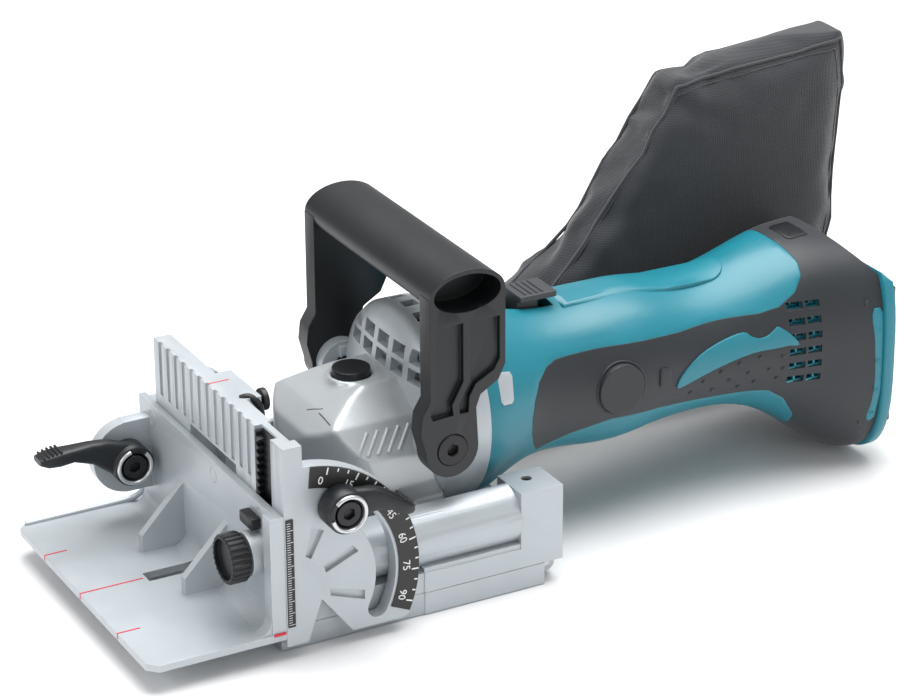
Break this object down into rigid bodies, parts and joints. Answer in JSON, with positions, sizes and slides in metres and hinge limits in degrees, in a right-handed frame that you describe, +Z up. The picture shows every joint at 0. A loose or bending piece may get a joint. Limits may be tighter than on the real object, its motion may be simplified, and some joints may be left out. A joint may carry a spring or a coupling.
{
  "type": "biscuit joiner",
  "caption": "Cordless plate joiner: a spring-returned carriage plunges a small circular blade past a tilting guide and a height-set fence to cut biscuit slots.",
  "frame": {"origin": "on the sole, straight below the spindle axis with the blade drawn back", "axes": "+X to the scale side, +Y to the battery end, +Z up; the blade plunges towards -Y"},
  "size_m": [0.1688, 0.387, 0.163],
  "materials": {
    "cast": "fine painted casting",
    "teal": "satin moulded plastic",
    "black": "satin moulded plastic",
    "grip": "soft overmoulded rubber",
    "steel": "ground",
    "blade": "ground",
    "bronze": "sintered",
    "copper": "wound and turned",
    "core": "stacked laminations",
    "board": "coated board",
    "fabric": "woven",
    "mark": "printed",
    "scale": "printed",
    "carbon": "pressed carbon"
  },
  "bodies": {
    "base": {"base_casting": "cast", "guide_rods": "steel", "rod_set_screws": "steel", "return_springs": "steel", "tilt_pins": "steel", "tilt_lock_bolt": "steel", "depth_stop_bracket": "cast", "dust_nozzle": "black", "bag_collar": "black", "dust_bag": "fabric", "cover_hinge_pin": "steel"},
    "cover": {"blade_cover": "cast"},
    "cover_clamp": {"cover_screw": "steel"},
    "guide": {"angle_guide": "cast", "angle_scale": "scale", "height_ruler": "scale", "guide_stop_knob": "black"},
    "tilt_lever": {"tilt_lock_lever": "black", "tilt_lock_lever_ring": "steel"},
    "rack": {"height_rack": "black"},
    "fence": {"fence": "cast", "height_pointer": "mark", "fence_lock_bolt": "steel"},
    "knob": {"height_pinion": "steel", "height_knob": "black"},
    "fence_lever": {"fence_lock_lever": "black", "fence_lock_lever_ring": "steel"},
    "carriage": {"gear_housing": "cast", "slide_bushes": "bronze", "spindle_bearings": "steel", "vent_collar": "cast", "shaft_lock_spring": "steel", "motor_bearings": "steel", "field_stator": "core", "brushes": "carbon", "brush_caps": "black", "depth_stop_post": "teal", "motor_housing_right": "teal", "side_grip_right": "grip", "motor_housing_left": "teal", "side_grip_left": "grip", "switch_block": "black", "battery_rail": "black", "battery_contacts": "copper", "controller_board": "board", "handle": "black", "handle_bolts": "steel"},
    "cutter": {"bevel_gear": "steel", "spindle": "steel", "inner_flange": "steel", "lock_nut": "steel", "saw_blade": "blade"},
    "armature": {"bevel_pinion": "steel", "motor_shaft": "steel", "armature_core": "core", "commutator": "copper", "cooling_fan": "black"},
    "shaft_lock": {"shaft_lock_button": "black"},
    "switch": {"slide_switch": "black"},
    "depth_stop": {"depth_stop_turret": "black"}
  },
  "joints": [
    {"name": "plunge", "type": "slide", "parent": "base", "child": "carriage", "axis": [0, -1, 0], "range_m": [0, 0.022], "stiffness_N_per_m": 600, "springref_m": -0.02, "deforming": ["return_springs"]},
    {"name": "armature_spin", "type": "hinge", "parent": "carriage", "child": "armature", "pos_m": [0, 0.1, 0.062], "axis": [0, 1, 0], "continuous": true},
    {"name": "cutter_spin", "type": "hinge", "parent": "carriage", "child": "cutter", "pos_m": [0, 0, 0.0062], "axis": [0, 0, 1], "continuous": true},
    {"name": "shaft_lock_press", "type": "slide", "parent": "carriage", "child": "shaft_lock", "axis": [0, 0, -1], "range_m": [0, 0.002], "stiffness_N_per_m": 400, "springref_m": -0.002, "deforming": ["shaft_lock_spring"]},
    {"name": "switch_slide", "type": "slide", "parent": "carriage", "child": "switch", "axis": [0, -1, 0], "range_m": [0, 0.006]},
    {"name": "depth_dial", "type": "hinge", "parent": "carriage", "child": "depth_stop", "pos_m": [-0.044, 0.1, 0.058], "axis": [0, 1, 0], "range_deg": [-300, 0]},
    {"name": "cover_open", "type": "hinge", "parent": "base", "child": "cover", "pos_m": [0, 0.07, 0.0055], "axis": [1, 0, 0], "range_deg": [0, 90]},
    {"name": "cover_clamp_turn", "type": "hinge", "parent": "cover", "child": "cover_clamp", "pos_m": [0.0562, -0.03, 0.005], "axis": [0, 0, 1], "continuous": true},
    {"name": "guide_tilt", "type": "hinge", "parent": "base", "child": "guide", "pos_m": [0, -0.045, 0.029], "axis": [1, 0, 0], "range_deg": [0, 90]},
    {"name": "fence_carry", "type": "slide", "parent": "guide", "child": "rack", "axis": [0, 0, 1], "range_m": [0, 0.0285]},
    {"name": "fence_height", "type": "slide", "parent": "rack", "child": "fence", "axis": [0, 0, 1], "range_m": [0, 0.04]},
    {"name": "height_knob_turn", "type": "hinge", "parent": "fence", "child": "knob", "pos_m": [0.0505, -0.06, 0.04], "axis": [0, 1, 0], "range_deg": [-460, 0]},
    {"name": "fence_lock_turn", "type": "hinge", "parent": "fence", "child": "fence_lever", "pos_m": [-0.046, -0.0658, 0.0395], "axis": [1, 0, 0], "range_deg": [-60, 0]},
    {"name": "tilt_lock_turn", "type": "hinge", "parent": "base", "child": "tilt_lever", "pos_m": [0.073, -0.029, 0.06181], "axis": [1, 0, 0], "range_deg": [0, 60]}
  ],
  "couplings": [
    {"joint": "cutter_spin", "follows": "armature_spin", "ratio": 0.33333},
    {"joint": "fence_carry", "follows": "guide_tilt", "m_per_rad": 0.017825},
    {"joint": "height_knob_turn", "follows": "fence_height", "rad_per_m": -200}
  ]
}
